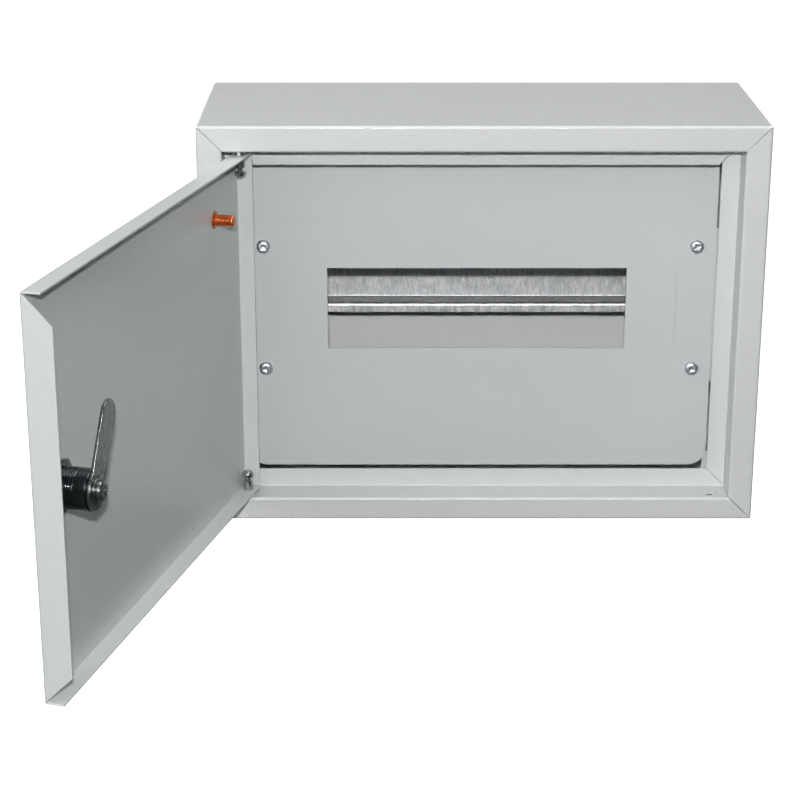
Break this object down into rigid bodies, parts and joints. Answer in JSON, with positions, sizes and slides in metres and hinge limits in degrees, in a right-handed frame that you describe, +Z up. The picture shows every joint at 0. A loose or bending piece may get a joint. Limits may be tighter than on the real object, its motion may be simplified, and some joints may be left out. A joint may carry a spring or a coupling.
{
  "type": "residential load center",
  "caption": "Surface-mounted sheet-steel distribution box with a side-hinged door on a cam lock, a slotted cover plate and a device rail behind its window.",
  "frame": {"origin": "centre of the flat rear face that lies on the wall", "axes": "+Y into the wall, out of the rear face; -Y towards the user; +Z up; +X to the user's right. Stored with the door open 105 degrees."},
  "size_m": [0.35, 0.37, 0.22],
  "materials": {
    "body_paint": "satin fine orange-peel powder coat, light grey",
    "door_paint": "satin fine orange-peel powder coat, light grey",
    "cover_paint": "satin powder coat, light grey",
    "galvanised": "galvanised with faint spangle",
    "zinc_screw": "bright zinc plate",
    "pin_steel": "turned and zinc plated",
    "brass": "bright",
    "copper_plated": "copper flash over steel",
    "blue_plastic": "moulded",
    "green_plastic": "moulded",
    "nylon": "natural",
    "lock_chrome": "polished plate over die casting",
    "cam_steel": "zinc plated"
  },
  "bodies": {
    "enclosure": {"back_panel": "body_paint", "top_wall": "body_paint", "bottom_wall": "body_paint", "left_wall": "body_paint", "right_wall": "body_paint", "cover_bracket_left": "body_paint", "cover_bracket_right": "body_paint", "corner_stops": "body_paint", "cover_plate": "cover_paint", "cover_screws": "zinc_screw", "din_rail": "galvanised", "rail_support": "galvanised", "neutral_bar": "brass", "neutral_clamp_screws": "zinc_screw", "neutral_holders": "blue_plastic", "earth_bar": "brass", "earth_clamp_screws": "zinc_screw", "earth_holders": "green_plastic", "bar_screws": "zinc_screw", "holder_screws": "zinc_screw", "body_earth_stud": "copper_plated", "body_earth_washer": "zinc_screw", "body_earth_nut": "zinc_screw", "hinge_washer": "nylon"},
    "door": {"door_panel": "door_paint", "door_earth_stud": "copper_plated", "upper_hinge_pin": "pin_steel", "lower_hinge_pin": "pin_steel", "lock_housing": "lock_chrome", "lock_nut": "lock_chrome"},
    "lock": {"lock_plug": "lock_chrome", "lock_cam": "cam_steel", "cam_washer": "cam_steel", "cam_screw": "cam_steel"}
  },
  "joints": [
    {"name": "door_hinge", "type": "hinge", "parent": "enclosure", "child": "door", "pos_m": [-0.1275, -0.1145, 0], "axis": [0, 0, 1], "range_deg": [-10, 105]},
    {"name": "lock_turn", "type": "hinge", "parent": "door", "child": "lock", "pos_m": [-0.18949, -0.34584, -0.0007], "axis": [0.9659, -0.2588, 0], "range_deg": [0, 90]}
  ]
}
